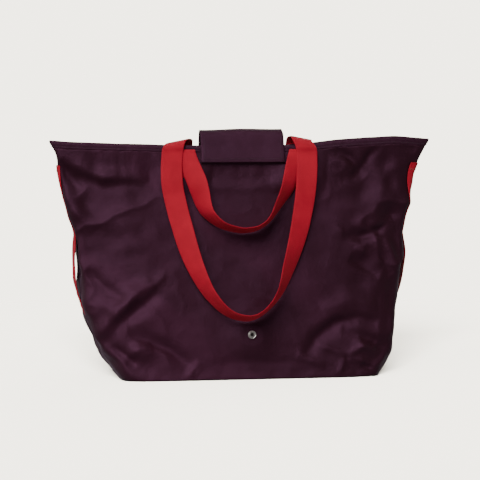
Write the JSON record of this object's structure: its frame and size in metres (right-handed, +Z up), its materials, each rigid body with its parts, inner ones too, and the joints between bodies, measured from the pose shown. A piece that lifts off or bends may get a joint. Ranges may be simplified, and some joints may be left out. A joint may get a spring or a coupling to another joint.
{
  "type": "foldable tote bag",
  "caption": "Zip-top nylon tote bag with short and long webbing handles, side webbing straps, a centre flap and a press stud, standing on a flat base.",
  "frame": {"origin": "centre of the base, on the face the bag rests on", "axes": "+X to the bag's right seen from the front, along its width; +Y to the back; +Z up; the front with the press stud faces -Y"},
  "size_m": [0.612, 0.2143, 0.3978],
  "materials": {
    "shell_fabric": "satin",
    "webbing": "woven",
    "inner_fabric": "matte",
    "zip_coil": "satin",
    "steel": "polished"
  },
  "bodies": {
    "bag": {"front_panel": "shell_fabric", "back_panel": "shell_fabric", "base_panel": "shell_fabric", "front_top_hem": "shell_fabric", "back_top_hem": "shell_fabric", "flap_back": "shell_fabric", "zip_tape_front": "shell_fabric", "zip_tape_back": "shell_fabric", "zip_tab_left": "shell_fabric", "zip_tab_right": "shell_fabric", "front_handle_end_left": "webbing", "front_handle_end_right": "webbing", "back_handle_end_left": "webbing", "back_handle_end_right": "webbing", "left_side_strap": "webbing", "right_side_strap": "webbing", "base_seam_tape": "inner_fabric", "left_seam_tape": "inner_fabric", "right_seam_tape": "inner_fabric", "front_handle_patch_left": "inner_fabric", "front_handle_patch_right": "inner_fabric", "back_handle_patch_left": "inner_fabric", "back_handle_patch_right": "inner_fabric", "stud_patch": "inner_fabric", "inner_pocket": "inner_fabric", "inner_pocket_hem": "inner_fabric", "zip_coil_front": "zip_coil", "zip_coil_back": "zip_coil", "snap_stud": "steel", "snap_stud_rivet": "steel"},
    "front_handle": {"front_handle": "webbing"},
    "back_handle": {"back_handle": "webbing"},
    "flap": {"flap_outer": "shell_fabric", "flap_lining": "shell_fabric", "flap_socket": "steel"},
    "zip_slider": {"zip_slider": "steel"},
    "zip_puller": {"zip_puller": "steel"}
  },
  "joints": [
    {"name": "front_handle_swing", "type": "hinge", "parent": "bag", "child": "front_handle", "pos_m": [0, -0.0178, 0.357], "axis": [-1, 0, 0], "range_deg": [0, 130]},
    {"name": "back_handle_swing", "type": "hinge", "parent": "bag", "child": "back_handle", "pos_m": [0, -0.0278, 0.369], "axis": [-1, 0, 0], "range_deg": [0, 160]},
    {"name": "flap_lift", "type": "hinge", "parent": "bag", "child": "flap", "pos_m": [0, -0.0111, 0.3869], "axis": [-1, 0, 0], "range_deg": [0, 155]},
    {"name": "zip_slide", "type": "slide", "parent": "bag", "child": "zip_slider", "axis": [-1, 0, 0], "range_m": [0, 0.47]},
    {"name": "puller_flip", "type": "hinge", "parent": "zip_slider", "child": "zip_puller", "pos_m": [0.237, 0, 0.3701], "axis": [0, -1, 0], "range_deg": [0, 175]}
  ]
}
